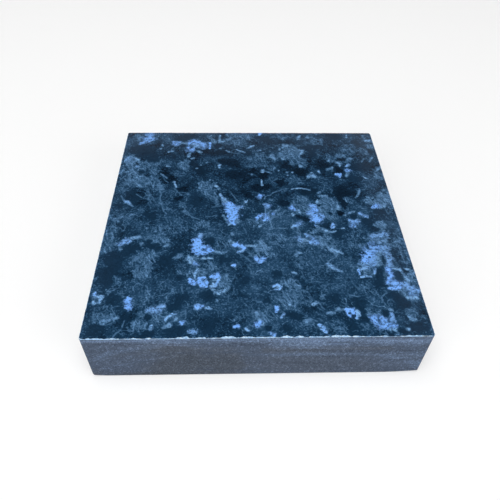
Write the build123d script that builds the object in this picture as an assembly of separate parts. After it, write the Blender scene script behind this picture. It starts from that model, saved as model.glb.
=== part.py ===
from build123d import *
import os

# Engineered stone tile: one piece of pressed stone, sawn on four sides from slab stock.
# Millimetres, +Z up. The origin is the middle of the bed face, the plain underside
# that is laid in adhesive. The decorated face is on top.

# Driving dimensions
length = 100.0        # along X
width = 100.0         # along Y
thickness = 20.0      # of the slab stock, along Z

# Broken edges, each measured back from the sharp corner that the saw leaves
face_arris_run = 0.4    # chipped edge of the decorated face, measured across that face
face_arris_drop = 0.3   # the same edge, measured down the sawn side
bed_arris = 0.3         # lower edge, knocked off evenly
corner_arris = 0.6      # upright corners

parts_folder = "parts"


def sawn_blank():
    """The slab's thickness, sawn square to length and width, with the upright corners broken."""
    with BuildPart() as blank:
        with BuildSketch():
            plan = Rectangle(length, width)
            chamfer(plan.vertices(), length=corner_arris)
        extrude(amount=thickness)
    return blank.part


def broken_edges(blank):
    """The blank with a bevel all round the decorated face and all round the bed face."""
    face = blank.faces().sort_by(Axis.Z)[-1]
    bevelled = chamfer(face.edges(), length=face_arris_run, length2=face_arris_drop, reference=face)
    bed = bevelled.faces().sort_by(Axis.Z)[0]
    return chamfer(bed.edges(), length=bed_arris)


tile = broken_edges(sawn_blank())
os.makedirs(parts_folder, exist_ok=True)
export_step(tile, os.path.join(parts_folder, "tile.step"))
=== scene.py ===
import math

import bpy
import numpy as np
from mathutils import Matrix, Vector, noise


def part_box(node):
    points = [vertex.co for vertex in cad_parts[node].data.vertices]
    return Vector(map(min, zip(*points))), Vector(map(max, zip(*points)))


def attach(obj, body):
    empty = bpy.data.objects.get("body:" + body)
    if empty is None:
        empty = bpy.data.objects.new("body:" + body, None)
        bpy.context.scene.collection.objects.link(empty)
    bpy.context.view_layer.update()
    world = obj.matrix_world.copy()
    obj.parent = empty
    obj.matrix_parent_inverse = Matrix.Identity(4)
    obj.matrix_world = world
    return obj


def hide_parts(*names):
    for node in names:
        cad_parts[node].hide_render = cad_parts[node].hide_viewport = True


# A square tile of pressed stone: a polished, mottled dark blue face with a chipped front edge, over sawn grey
# sides. Sizes of the stone are in millimetres from the middle of the bed face: x right, y back and z up.

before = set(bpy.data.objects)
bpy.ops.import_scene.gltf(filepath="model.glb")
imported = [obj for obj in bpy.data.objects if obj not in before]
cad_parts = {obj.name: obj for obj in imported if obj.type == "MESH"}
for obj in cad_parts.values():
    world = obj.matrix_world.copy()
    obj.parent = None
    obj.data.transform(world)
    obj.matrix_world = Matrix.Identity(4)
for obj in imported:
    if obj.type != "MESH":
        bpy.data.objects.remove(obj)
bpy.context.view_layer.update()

MM = 0.001
tile_low, tile_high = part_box("tile")
LENGTH, WIDTH, THICKNESS = (tile_high - tile_low) / MM

# Edges, as on the CAD solid
CORNER_ARRIS = 0.6      # upright corners
BED_ARRIS = 0.3         # lower edge

# Steps of the mesh
FACE_STEPS = 250        # along each side of the face
EDGE_STEPS = 500        # along each side of the chipped edge
CORNER_STEPS = 4        # round each upright corner at the chipped edge
SIDE_STEPS = 125        # along each side, below the chipped edge
SIDE_ROWS = 20          # down each side
SIDE_TOP = 1.0          # depth of the first of those rows
BED_STEPS = 25          # along each side of the bed face
FACE_INSET = 1.7        # from the edge to the even grid of the face, past the widest chip
BED_INSET = 2.0         # from the edge to the even grid of the bed face

# Smooth noise along the edges: how fast its finer waves fade, how much finer each is, and how many there are
RIPPLE_FADE = 0.9
RIPPLE_FINER = 2.0
RIPPLE_WAVES = 4

# The chipped upper edge: how far it reaches into the face and drops down the side. Each ripple is its amount,
# size and seed.
FRONT_REACH = 0.17
FRONT_SWELL = 0.16      # added to the reach in the middle of the front
FRONT_SWELL_LENGTH = 25.0
FRONT_REACH_RIPPLES = [(0.16, 1.6, 3.7), (0.12, 0.45, 8.1)]
FRONT_DROP = 0.17
FRONT_DROP_RIPPLES = [(0.08, 1.1, 5.3)]
OTHER_REACH = 0.15
OTHER_REACH_RIPPLES = [(0.08, 1.2, 3.7), (0.05, 0.4, 8.1)]
OTHER_DROP = 0.15
OTHER_DROP_RIPPLES = [(0.05, 1.1, 5.3)]
LEAST_REACH = 0.04
LEAST_DROP = 0.05

# How broken the front edge is: 1 where it has its full chips, and 0 where it is almost sharp
BROKEN_SHARE = 0.75
BROKEN_RIPPLES = [(1.6, 1.7, 11.9)]
SHARPER_FROM = 20.0     # right of here the edge gets sharper
SHARPER_LENGTH = 60.0
SHARP_REACH = 0.2       # shares of the reach and the drop that a sharp stretch keeps
SHARP_DROP = 0.3

# Rows of the chipped edge, from the face down: shares of its reach and of its drop
CHIP_ROWS = [(1.0, 0.0), (0.70, 0.50), (0.35, 0.80), (0.0, 1.0)]
CHIP_ROUGHNESS = 0.25   # of the rows between the first and the last
CHIP_ROUGH_SIZE = 0.5
CHIP_ROUGH_SEED = 20.0

# Wear of the lower front corners: where it starts from the middle of the front, and its height at the corner
RIGHT_WEAR = (39.0, 0.9)
LEFT_WEAR = (45.0, 0.5)
WEAR_CURVE = 1.5
BED_WEAR = 0.5          # how far it reaches under the stone, as a share of its height

# Chips along the front edge: where along x, half length, and how far they reach into the face beyond
# the rest
FRONT_CHIPS = [
    (-47.2, 2.6, 0.256), (-40.4, 0.7, 0.2), (-37.3, 0.9, 0.176), (-34.8, 0.8, 0.16), (-30.2, 1.3, 0.24),
    (-22.8, 0.8, 0.224), (-20.2, 1.4, 0.4), (-15.6, 0.8, 0.16), (-9, 2, 0.304), (-4.8, 0.9, 0.192),
    (-0.8, 0.8, 0.224), (4.4, 0.9, 0.2), (7.7, 0.8, 0.384), (11.4, 0.9, 0.208), (14.5, 0.6, 0.192),
    (22.8, 2.7, 0.368), (28, 1, 0.16), (35.1, 0.9, 0.272), (43.2, 1.6, 0.128),
]

# The mottle of the face. Each stroke is its tone in percent, from 0, black, to 100, the palest blue, and
# then the points of its middle line with its half width there: (x, y, half width).
FLAKES = [
    # back left
    (68, (-40.8, 48.4, 1.7), (-40.9, 45.8, 2), (-42.5, 43.6, 1.3), (-43.9, 42, 0.6)), (52, (-35, 41.1, 0.55)),
    (44, (-35.6, 38.8, 0.5)), (46, (-32.4, 36.4, 0.35), (-31.2, 36.9, 0.5)),
    (68, (-31, 43.3, 0.8), (-29.8, 42.3, 1.3), (-28.5, 42.9, 0.8)),
    (42, (-28, 42.8, 0.5), (-25.8, 42.5, 0.6)),
    (70, (-24.4, 42.6, 1.2), (-23.2, 43.8, 1.1), (-21.2, 43.8, 1.1), (-19.6, 42.4, 1.2), (-18.5, 40.3, 1.2)),
    (62, (-22.3, 41.8, 1.5), (-21.2, 40.4, 1.4)),
    (70, (-24.8, 39.6, 0.8), (-24.1, 38, 1.3), (-22.7, 37.8, 1.2)),
    (76, (-16.2, 42.7, 0.45), (-16.2, 38.9, 0.4)), (44, (-24.1, 35.6, 0.6), (-24.4, 33.6, 0.5)),
    (46, (-21.2, 37.6, 0.7), (-19.8, 36.6, 0.5)), (46, (-23.3, 32.4, 0.4), (-22.2, 32.8, 0.45)),
    (42, (-32.2, 27.6, 0.4), (-31, 27.2, 0.3)),
    (58, (-47.4, 33.4, 0.9), (-46.6, 31.8, 1.1), (-48.4, 30.6, 0.8)),
    (50, (-45.4, 33, 0.5), (-43.4, 31.6, 0.4)), (60, (-43.7, 27.3, 0.6)),
    (54, (-29.1, 18.1, 0.35), (-28.6, 18.2, 0.4), (-28.3, 16.8, 0.35), (-27.8, 15.4, 0.4)),
    (40, (-34.2, 23, 0.25), (-32.9, 21.6, 0.3), (-31.6, 20.1, 0.25)), (46, (-17, 29.8, 0.45)),
    (40, (-19.4, 28.4, 0.35)), (42, (-20.9, 26.2, 0.4)), (48, (-15.7, 19.3, 0.35)),
    # back middle
    (50, (-12.5, 48, 0.35), (-12.4, 45.5, 0.5), (-12.3, 43.6, 0.65)), (46, (-11, 43.7, 0.45)),
    (50, (-12, 39.2, 0.4)), (48, (-9.8, 37.6, 0.25), (-8.8, 36.8, 0.35)),
    (50, (-5.6, 38.6, 0.2), (-4.2, 37.2, 0.3), (-2, 36.1, 0.25)), (66, (4.1, 50, 0.8), (4, 48.5, 0.5)),
    (46, (-1.2, 46.5, 0.6)), (44, (-8.3, 45.7, 0.5)),
    (52, (1.2, 41.1, 0.35), (-0.2, 40.3, 0.6), (-1, 39.2, 0.4)), (44, (2.6, 37.4, 0.4), (3.9, 37.9, 0.4)),
    (56, (-12.3, 28.3, 0.6), (-12.3, 26.7, 0.35)), (44, (-8.2, 26.2, 0.35)),
    (52, (4.3, 25.2, 0.6), (3.8, 23.8, 0.45)), (46, (5, 24.4, 0.25), (7.4, 23.4, 0.3)),
    (46, (8.6, 25.6, 0.3), (9.1, 26.5, 0.4)), (42, (10.3, 24.8, 0.35)), (38, (0, 22.3, 0.5)),
    (40, (13.4, 23.8, 0.45)), (56, (13.6, 21.9, 0.4)), (56, (15.4, 23.8, 0.45)),
    (50, (3.3, 19.4, 0.2), (3.5, 17.5, 0.25), (3.6, 16.3, 0.4)),
    (46, (11.4, 35.8, 0.8), (12.7, 34, 0.9), (12.5, 32.2, 0.6)),
    (46, (8.4, 35, 0.6), (8, 33.6, 0.6), (9.6, 31.9, 0.7)), (42, (11.6, 39.4, 0.4), (11.5, 38, 0.4)),
    (50, (13, 41.2, 0.6), (14.8, 41, 0.7)),
    # back right
    (50, (18.7, 28.2, 0.55), (18.7, 27.3, 0.55)),
    (52, (21, 20.4, 0.45), (21.4, 21.4, 0.6), (22.6, 22, 0.9), (23.6, 20.6, 0.5)), (70, (22.9, 21.8, 0.6)),
    (50, (22.8, 23.6, 0.4)), (58, (25.6, 24.2, 0.5), (25.9, 23.4, 0.35)),
    (40, (28.6, 25.6, 0.5), (30.2, 26, 0.7), (30.9, 26.7, 0.4)), (46, (31, 32, 0.3), (30, 30.6, 0.35)),
    (50, (33.4, 30.2, 0.6), (34, 29, 0.5), (33.8, 27.4, 0.35)), (62, (37.6, 28.4, 0.65), (36.9, 27.4, 0.6)),
    (68, (36.7, 24.8, 0.95)), (44, (36.7, 23.2, 0.6), (35.6, 21.6, 0.5)),
    (74, (32.1, 22.8, 0.55), (33.5, 22.7, 0.6), (32.9, 21.6, 0.5), (32.9, 20.8, 0.3)),
    (46, (36.2, 34.2, 0.7)), (50, (37.9, 31.8, 1), (38.9, 32.4, 0.7)),
    (54, (39.8, 48.2, 0.35), (39.6, 46.9, 0.4)), (56, (47.2, 44.6, 0.7), (49, 44, 0.9)),
    (44, (46.6, 48, 0.5)), (48, (20.6, 47.8, 0.4), (19.6, 46, 0.65)),
    (42, (23.8, 47.6, 0.4), (23.6, 46.6, 0.5)), (52, (19.4, 38.4, 0.4), (20, 36.8, 0.5), (19.7, 35.2, 0.4)),
    (38, (44.2, 32.4, 0.25), (43.1, 30.3, 0.3)), (36, (47.6, 33.2, 0.35), (46.2, 30.4, 0.45)),
    (52, (41.9, 21.7, 0.25), (43.2, 20.1, 0.3)),
    (44, (49.5, 27.4, 0.5), (48.2, 25.5, 0.5), (47.3, 24.2, 0.4)),
    # middle left
    (60, (-45.5, 7.7, 0.4), (-44.3, 6.9, 0.65), (-43.5, 6.2, 0.45)), (38, (-43, 5.6, 0.4), (-42.2, 5, 0.3)),
    (46, (-19.5, 14.3, 0.9)), (46, (-33.3, 14, 0.7)), (38, (-23, 11.1, 0.5)), (42, (-32.7, 6.3, 0.9)),
    (44, (-24, 2.2, 0.7), (-22.8, 0.9, 0.6)), (44, (-49, -6.5, 0.6)), (42, (-36, -6, 0.4)),
    (64, (-43.8, -13.6, 0.8), (-42.6, -11.8, 1.1), (-41.2, -12, 0.8)),
    (44, (-40.5, -10.7, 0.5), (-38, -10.1, 0.6)), (46, (-43.5, -15.8, 0.6)), (46, (-37, -13.6, 0.6)),
    (45, (-29.3, -14.6, 0.5), (-28.4, -13.9, 0.9)), (62, (-18.2, -9.5, 0.55), (-18.2, -10.6, 0.8)),
    (88, (-19, -11.8, 1.3), (-18.5, -14, 1.7), (-18.2, -16, 1.6)), (82, (-16.8, -14.6, 1.1), (-15.2, -16, 1)),
    # middle
    (52, (-13.4, 16, 0.5), (-12.3, 14.3, 0.5)), (58, (-11.8, 11.5, 0.4), (-11, 9.3, 0.6), (-9.8, 7.3, 0.9)),
    (84, (-8.6, 5.4, 1.4), (-7.6, 3.5, 1.9), (-7.5, -0.5, 1.8), (-7.7, -2.8, 1.2), (-6.8, -4.2, 0.6)),
    (64, (-5.5, 3.6, 0.9), (-4.2, 4.4, 0.9)), (52, (-8, -3.8, 0.4), (-8.7, -4.8, 0.3)), (50, (-6, -3.2, 0.9)),
    (46, (-10.3, 0, 0.4), (-9.5, -2, 0.5)), (56, (-3, 7.6, 0.25), (-2.4, 6.9, 0.35), (-1.7, 8.1, 0.2)),
    (78, (2.5, 10.3, 1.05)), (66, (4.9, 5.5, 1), (5, 4.7, 1.2)), (38, (6.5, 8, 0.6)),
    (46, (14.2, 13.8, 0.2), (16, 14.1, 0.25), (18, 14.6, 0.25), (19.6, 14.1, 0.3), (20.8, 13.3, 0.4)),
    (74, (13.8, 4.5, 0.6), (13.4, 3.4, 0.85), (14.3, 2.8, 0.6)),
    (48, (13.3, 0.7, 0.35), (13.9, 0.5, 0.45), (13.6, -0.3, 0.35)), (56, (15.9, 2.8, 0.35), (16.2, 1.6, 0.4)),
    (82, (1.7, -1.3, 0.9), (2.2, -0.4, 0.8)), (68, (3, 0.4, 0.8), (4.4, 0.3, 0.8)),
    (70, (4.2, -0.6, 0.9), (4.6, -1.9, 0.8), (3.2, -2.4, 0.45)), (72, (6.9, 0.8, 0.6)),
    (48, (7.8, 2.4, 0.35)), (52, (2.1, -5.2, 0.55)),
    (64, (15.8, -3.8, 0.95), (14.8, -4.5, 0.8), (13.4, -5.6, 0.45)), (48, (12.8, -6.2, 0.4)),
    (42, (-7.3, -8.9, 0.7)), (80, (-6.5, -14, 0.7), (-5.5, -13.9, 0.9), (-4, -14.9, 0.8), (-3.6, -15.9, 0.5)),
    (48, (-8.3, -12, 0.5), (-7, -13, 0.5)), (46, (-3, -14.3, 0.4), (-1, -14.5, 0.4), (0.3, -14.5, 0.5)),
    (62, (14.7, -10.7, 0.9), (15.2, -12, 0.8)), (56, (15.5, -13.4, 0.3)),
    (54, (16, -11.6, 0.6), (17.2, -12.2, 0.6)),
    # middle right
    (46, (24.5, 12.5, 0.4), (24, 11.8, 0.5)), (42, (24, 10.2, 0.5), (26.5, 10.2, 0.6)),
    (44, (39, 14.2, 0.25), (39.2, 12.2, 0.4), (38.3, 10.8, 0.4), (37.1, 9.1, 0.2)),
    (52, (22.9, 8, 0.35), (22.7, 6.4, 0.55)), (40, (24, 6.4, 0.5)), (53, (29.9, 4.2, 0.6), (29.6, 2.8, 0.8)),
    (68, (20.2, 4.9, 1), (21.8, 4.8, 0.8)), (78, (21.8, 2.4, 1.1)), (68, (19.6, 1, 0.9), (20.6, 0.2, 1.1)),
    (90, (21.5, -0.5, 1.2), (21.6, -2.3, 1.6), (21.3, -3.8, 0.6)), (66, (22.8, 0.7, 0.8), (24, -0.5, 0.8)),
    (66, (27, -4.5, 0.45), (26.7, -6, 0.6)), (52, (26.2, -8.3, 0.4), (27.5, -7.8, 0.3)),
    (54, (29.5, -6.8, 0.25), (30.4, -6.4, 0.35)), (50, (24.4, -7.9, 0.5)),
    (64, (17.3, -9.3, 0.5), (17.9, -10.6, 0.7)),
    (66, (18.5, -13, 0.7), (19.8, -12.2, 0.9), (20.7, -13.5, 0.8)),
    (50, (22, -13.8, 0.6), (22.8, -14.4, 0.4)),
    (54, (24, -15.1, 0.5), (25.4, -16.4, 0.75), (26.8, -17.3, 0.6)),
    (42, (27.4, -17.6, 0.4), (28.2, -18.4, 0.3)), (64, (37.5, 0.7, 0.7), (38.3, -0.2, 1), (39.2, -0.9, 0.6)),
    (42, (33.5, 1, 0.5), (35.3, 1.7, 0.4)), (46, (31.7, 0, 0.6)),
    (64, (33, -2.2, 0.7), (33.8, -3.4, 1.2), (35.5, -3.4, 1)), (68, (33.9, -4.9, 1.1)),
    (84, (42.4, 3.9, 0.7), (43.8, 4.9, 0.9)), (44, (46, 11.7, 0.6)), (42, (48.6, 13.8, 0.8)),
    (62, (39.6, -10.3, 0.9), (42, -9.8, 1.2), (44.2, -9.6, 1)), (58, (41.3, -13.5, 1), (43.2, -12.2, 0.9)),
    (44, (47.2, -11.8, 0.6), (46.5, -13.5, 0.6)),
    # front left
    (66, (-48.3, -33.3, 0.3), (-48, -34.8, 0.8)),
    (56, (-49, -35.2, 0.5), (-47.8, -35.3, 0.5), (-45.8, -34.8, 0.4), (-46.6, -37.2, 0.5),
     (-47.8, -37.6, 0.5), (-48.6, -36.4, 0.5)),
    (78, (-38.3, -35.8, 0.6), (-37.9, -37.5, 1), (-37.6, -38.8, 0.9)),
    (52, (-44.8, -44.6, 0.6), (-43, -43.6, 1), (-41, -42.8, 0.8)),
    (62, (-31.7, -40.3, 0.8), (-30.2, -40.4, 1.3), (-28.7, -39.7, 1), (-27.6, -38.9, 0.6)),
    (60, (-26.5, -43.5, 0.4), (-25.8, -42.6, 0.4), (-24.8, -41.7, 0.4), (-23.9, -41.6, 0.4)),
    (54, (-23.7, -43.5, 0.5)), (70, (-21.7, -44.6, 0.7)), (46, (-26.7, -46.2, 0.5), (-25.2, -45.3, 0.6)),
    (58, (-30.4, -45.6, 0.4), (-30.5, -46.8, 0.55)), (62, (-19.2, -47.5, 0.65), (-18, -48, 0.8)),
    (68, (-17.8, -38.5, 0.6), (-17.2, -39.3, 0.7), (-15.9, -38.9, 0.5)), (50, (-37.8, -19.8, 1)),
    (46, (-25.6, -19.8, 0.7), (-24, -19, 0.9)),
    (48, (-21.5, -18.5, 0.3), (-21.2, -20.5, 0.35), (-20.4, -22.3, 0.3)), (68, (-18.9, -22.5, 0.75)),
    (84, (-20, -16.3, 0.8), (-18.5, -17, 1), (-16.5, -17.5, 1), (-14.3, -16.3, 0.8)),
    (58, (-18.3, -24.3, 0.35), (-19, -26, 0.45), (-18.8, -28, 0.25)),
    (80, (-20.6, -28.4, 0.4), (-19.7, -29.5, 0.85), (-19.3, -30.4, 0.6)),
    (88, (-15.9, -27.9, 0.4), (-17.4, -28.4, 0.65), (-17.1, -29.8, 0.85), (-16.2, -31.2, 0.75),
     (-15.3, -31.6, 0.5)), (74, (-15.3, -31, 0.4), (-15, -30, 0.4), (-15.4, -28.9, 0.3)),
    (56, (-16, -29.4, 0.5)),
    # front middle
    (42, (-12.6, -17.1, 0.5), (-10.6, -17.8, 0.3), (-9.4, -17.2, 0.3)),
    (50, (-17.4, -19.9, 0.35), (-15.6, -20, 0.35), (-13.6, -20.1, 0.25)), (46, (-16.2, -25.8, 0.6)),
    (84, (-13.9, -27.5, 0.5), (-12.9, -27.3, 1), (-12, -26.9, 0.85)),
    (66, (-11.6, -27.8, 0.4), (-11.7, -29.3, 0.45), (-12.2, -30.6, 0.5), (-12.6, -31.4, 0.4)),
    (60, (-13.1, -30.3, 0.5), (-12.9, -31.3, 0.5), (-14, -31.6, 0.4)), (50, (-12.9, -29, 0.6)),
    (46, (-5, -15.4, 0.5)),
    (52, (-13.8, -32.2, 0.4), (-12.6, -33.4, 0.35), (-11.2, -34.3, 0.4), (-10, -33.3, 0.4), (-9.4, -32, 0.3)),
    (70, (-7.1, -23, 0.4), (-6.5, -22.8, 0.45), (-6.7, -23.6, 0.35)),
    (70, (0.3, -20.3, 0.8), (1.2, -21, 0.9), (2.5, -20.2, 0.8)), (62, (-5.5, -17, 0.5), (-4, -16.5, 0.6)),
    (48, (13.2, -18.8, 0.5), (14, -17.7, 0.6), (15, -17.8, 0.4)), (42, (11.6, -26, 0.4), (12.4, -26.6, 0.4)),
    (64, (5.2, -31.6, 0.35), (6.3, -31, 0.4), (7.4, -31.8, 0.3), (6.7, -32.8, 0.35), (5.6, -32.7, 0.25)),
    (54, (9.2, -37, 0.25), (9.4, -38.6, 0.35)), (50, (6.5, -31.9, 0.4)),
    (74, (5.7, -39.3, 0.5), (5.8, -40.3, 0.6), (5.3, -41.2, 0.3)), (62, (7.7, -42, 0.4), (6.8, -43, 0.5)),
    (52, (-0.5, -41.6, 0.9), (0.2, -43.2, 1)), (74, (0.3, -44.7, 0.7), (-0.5, -45.8, 0.8)),
    (46, (1.4, -45.3, 0.5)), (80, (-6.6, -46, 0.5), (-5.7, -45.9, 0.6)),
    (60, (-3.6, -46.7, 0.4), (-3, -47.5, 0.4)), (68, (3.6, -48.8, 0.7), (4.5, -48.9, 0.6)),
    (58, (-15, -39.4, 0.5), (-13.4, -40, 0.35)), (44, (-12, -36.7, 0.4)),
    (42, (13.5, -44.7, 0.4), (14.8, -44.2, 0.5), (16, -44.4, 0.3)),
    # front right
    (90, (37, -18.6, 1.2), (35.9, -20, 1.6), (35, -21.4, 1.2)), (68, (38.9, -15.4, 1.9), (37.8, -17.6, 2.3)),
    (64, (38.2, -19.8, 2), (37.4, -21.8, 1.8)),
    (60, (34.4, -22.6, 1.4), (35.4, -24, 1.3), (33.4, -24.8, 0.7)),
    (72, (32.3, -25.4, 0.25), (32.4, -27, 0.3)), (54, (40, -18.5, 1), (39.5, -21, 1), (38.9, -22.9, 0.7)),
    (60, (32.7, -28.2, 0.4), (34.2, -28, 0.4), (35.8, -28.3, 0.3)),
    (62, (37.8, -24.8, 0.4), (37.2, -26.7, 0.45)),
    (62, (42.6, -15.6, 1.2), (42.4, -19, 1.1), (43, -21.5, 1.3), (42.4, -23.6, 1)),
    (76, (41.9, -24.7, 0.9), (41.8, -26.5, 1.2), (41.8, -28.6, 1.1)),
    (70, (40.6, -30.5, 0.8), (42.2, -30.3, 1.1), (44.2, -30.6, 0.8)),
    (74, (40.2, -32.9, 0.4), (42, -32.6, 0.7), (43.9, -32.4, 0.7)),
    (64, (45.5, -31.2, 1), (47, -32.6, 1.4), (46.6, -34.4, 1.3), (48.8, -33.5, 1.4)),
    (56, (44.8, -36.2, 0.4), (46.5, -36.6, 0.7), (47.8, -36.3, 0.6)),
    (46, (44.2, -34, 0.3), (45, -35.6, 0.3)),
    (56, (43.8, -24.4, 0.6), (45.4, -25.3, 0.5), (46.1, -26.8, 0.4)),
    (56, (46.4, -28.2, 0.6), (47, -29.8, 0.7)),
    (52, (47.2, -25, 0.4), (48.9, -25.9, 0.5), (48.6, -27.5, 0.6)),
    (70, (33.3, -43.6, 0.9), (34, -45.4, 1.1), (35.2, -46.2, 1.1)),
    (70, (36, -43.8, 1.1), (36.7, -46, 1.4), (38.5, -46.5, 1.1)), (64, (38.9, -42.6, 0.7), (38.6, -44.4, 1)),
    (54, (39.2, -40.9, 0.6)), (52, (37.5, -47.6, 0.5), (39.5, -47.8, 0.5)),
    (74, (26, -40.7, 0.5), (26.2, -42, 0.6), (26.9, -43, 0.5)),
    (76, (26.5, -40.6, 0.5), (28, -40.6, 0.7), (28.2, -41.8, 0.7)), (58, (29, -41, 0.6), (29.5, -42.3, 0.5)),
    (64, (28.5, -42.8, 0.5), (28.7, -43.6, 0.4)), (44, (23.3, -40.4, 0.6), (24.5, -40.7, 0.6)),
    (46, (20.6, -42.1, 0.5), (22.3, -41.8, 0.4)),
    (64, (17.6, -46, 0.5), (18.4, -47.3, 0.7), (19, -48.5, 0.5)), (48, (16.6, -38.5, 0.5), (17.5, -38, 0.5)),
    (58, (22.9, -22.6, 0.5), (23.9, -23.7, 0.7), (25.2, -24.7, 0.6), (26.8, -26, 0.4)),
    (46, (44.2, -43.4, 0.6), (44.6, -44.2, 0.5)), (48, (41.3, -47.2, 0.5), (43, -47.7, 0.5)),
]

# Mists of fine hairs
MISTS = [
    # back
    (47, (-46.5, 30.5, 2.6), (-46, 27, 3.2), (-45, 23.8, 3), (-43, 22, 2.2)),
    (40, (-42.2, 29.2, 1.6), (-40.6, 25.4, 1.6)), (41, (-46.4, 47.8, 1.3), (-44.4, 46.4, 1.4)),
    (36, (-38.8, 26.6, 1.8), (-37.5, 24.5, 1.9), (-36.8, 22.5, 1.4)),
    (42, (-45, 18.5, 1.5), (-41, 18.5, 2), (-36, 18.5, 2.2), (-34, 15.5, 1.5)),
    (38, (-7, 47, 2.5), (-2.5, 46.5, 2.2)), (37, (-16, 46.8, 1.4), (-14.8, 44.2, 1)), (34, (-3.5, 43.5, 2)),
    (43, (14, 40.6, 1.2), (16.4, 38.5, 2.4), (18, 35.6, 2.2), (14, 34, 1.8)),
    (37, (16.8, 32, 2), (16.6, 29.8, 1.6)), (30, (3, 32.5, 2), (1, 29, 1.8), (5, 29, 1.5)),
    (30, (27, 44, 1.7)), (32, (7.8, 26.6, 1.5)), (35, (30.5, 33.5, 1.3), (30.8, 30.5, 1.1)),
    (35, (39.5, 37.5, 2), (41, 40.5, 1)), (43, (36, 33.6, 1.6), (33.6, 32.2, 1.2), (37.6, 30.4, 1.1)),
    (38, (21.2, 31, 1.2), (20.6, 27.5, 0.9)), (36, (15.6, 21, 1), (16.6, 19.8, 0.9)),
    (42, (-25, 31, 0.8), (-26, 28.5, 1.2), (-25.5, 27, 1.2)), (36, (48.4, 40.4, 1.1)), (34, (45, 36.2, 1)),
    (36, (48.3, 26.5, 1), (47, 24.5, 1), (48.5, 21, 1)), (34, (12, 48, 2), (14.5, 46.5, 1.5)),
    (28, (-29, 24, 1), (-27, 22.5, 1)),
    (40, (-18.2, 17.6, 1.1), (-17, 15.5, 1.7), (-15.5, 12.5, 1.6), (-14, 9, 1)),
    # middle
    (38, (-25, 5.5, 1.1)), (34, (-38.2, 14, 1.4), (-37.5, 9.5, 1.4)),
    (38, (-13.2, 9, 1.1), (-12.3, 5.8, 1.1)), (32, (-1.5, -4.5, 1.4), (1.5, -2, 1.2)), (40, (15.2, 5.2, 1.3)),
    (33, (-48, 0, 1.7), (-47.5, -6, 1.5)), (36, (48.4, 2.5, 1.1)),
    (35, (48.2, -9, 1.1), (47.8, -18, 1.4), (48.4, -21.5, 1.1)),
    (43, (-33.6, -10.6, 1.1), (-31, -10.8, 1.4), (-28.5, -12, 0.9)),
    (40, (-48.5, -10.5, 1.8), (-47.5, -15, 1.9)), (36, (-20, -6, 0.9), (-17.5, -4.2, 1.1)),
    (31, (-24, -6.8, 1.3), (-31.5, -6.4, 1.4)), (30, (-11, -14, 1.4), (-9.5, -13.6, 1.2)),
    (50, (2.5, -13.7, 1.6), (1.2, -15.8, 1.8), (3.4, -16.5, 1.6)), (40, (-1.6, -17.4, 1.2), (-0.4, -19, 1)),
    (39, (4.5, -9.8, 0.7), (6, -11.3, 1.4), (8, -11.5, 1.4), (10, -10.5, 0.9)), (38, (13.8, -5.8, 1.2)),
    (36, (17, 6.6, 1.9), (18.3, 3.8, 1.8)),
    (42, (25.8, 6.2, 2.2), (28, 8, 1.6), (28, 4, 1.8), (25.5, 1.5, 1.6)), (38, (27, -0.5, 1.4)),
    (52, (19.8, 3, 1.2), (22.8, 3.6, 1.3), (23.4, 1.6, 1.2)),
    (42, (19, -11, 2), (21.5, -12.5, 2), (24, -14.5, 1.4), (26.5, -17, 1)),
    (42, (15.5, -12.8, 1.5), (17.5, -12, 1.5)),
    (46, (19.8, -8.2, 1.1), (22, -6.6, 1.3), (23.6, -7.2, 1), (24.6, -8.4, 0.8)), (38, (14.8, -8.2, 1.1)),
    (49, (41.5, 8, 1.6), (43, 6.5, 1.6), (45.5, 6.8, 2), (48, 9, 2), (46.5, 10.5, 1.4)),
    (38, (34, 8.5, 0.8), (35, 6.8, 0.6)), (47, (42, -5.2, 1), (43.5, -4.4, 1.2), (43.7, -7.2, 0.9)),
    (45, (40.5, -12.5, 1.6), (43, -12, 1.6), (43, -15.5, 1)), (30, (33, -12, 2.4), (34.5, -8.5, 2.2)),
    # front
    (37, (-36.5, -19.2, 1.7), (-36, -22, 2.8), (-34.2, -25, 2.2), (-37, -26.5, 1.8)),
    (35, (-43, -27.5, 0.8), (-42.5, -29.5, 0.9)), (40, (-29, -42, 1.2), (-30, -43.8, 0.9)),
    (40, (-33.5, -45, 1.6), (-34.5, -46.5, 1.6), (-34, -42.5, 1.4)),
    (37, (-42.5, -41.8, 1.4), (-45, -43, 1.2)), (40, (-24, -25.5, 0.8), (-22.5, -26.8, 0.8)),
    (46, (-20.2, -19.2, 1.5), (-19.2, -21, 1.4)), (36, (-15, -22, 1.6), (-14, -23.5, 1.4)),
    (42, (-19.2, -26, 0.9), (-16.5, -25.8, 1.1)),
    (43, (-10.6, -29.6, 1.5), (-9.5, -31.8, 1.4), (-8.6, -28.2, 1.3)),
    (42, (8, -30, 1.1), (11, -30.8, 1.5), (12.5, -32, 1.2)),
    (39, (10, -35, 2.6), (8, -36.5, 1.9), (12.5, -36, 2.2), (9.5, -38.5, 1.6)),
    (38, (2, -42, 1.6), (3.5, -43, 1.7)), (34, (14.5, -33.5, 1.5), (14.8, -37.5, 1.5)),
    (32, (13.5, -23.5, 1), (14.5, -20.5, 1)), (44, (35, -25.5, 1.6)),
    (46, (40.2, -17, 1.6), (39.5, -22, 1.2)), (46, (47.8, -28.6, 1.4), (48.6, -26, 1.1)),
    (44, (44.5, -33.6, 1), (46.5, -36, 1.2)), (37, (34, -41.5, 1.4)),
    (41, (45, -41.6, 1.2), (45.2, -43.4, 1)), (31, (48.5, -43, 0.8)),
    (36, (-5.5, -43, 1.2), (-3.5, -42.3, 1)), (34, (22.4, -47, 1.7)),
    (32, (32.5, -32.5, 1.4), (34.5, -33.5, 1.2)),
]

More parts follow.
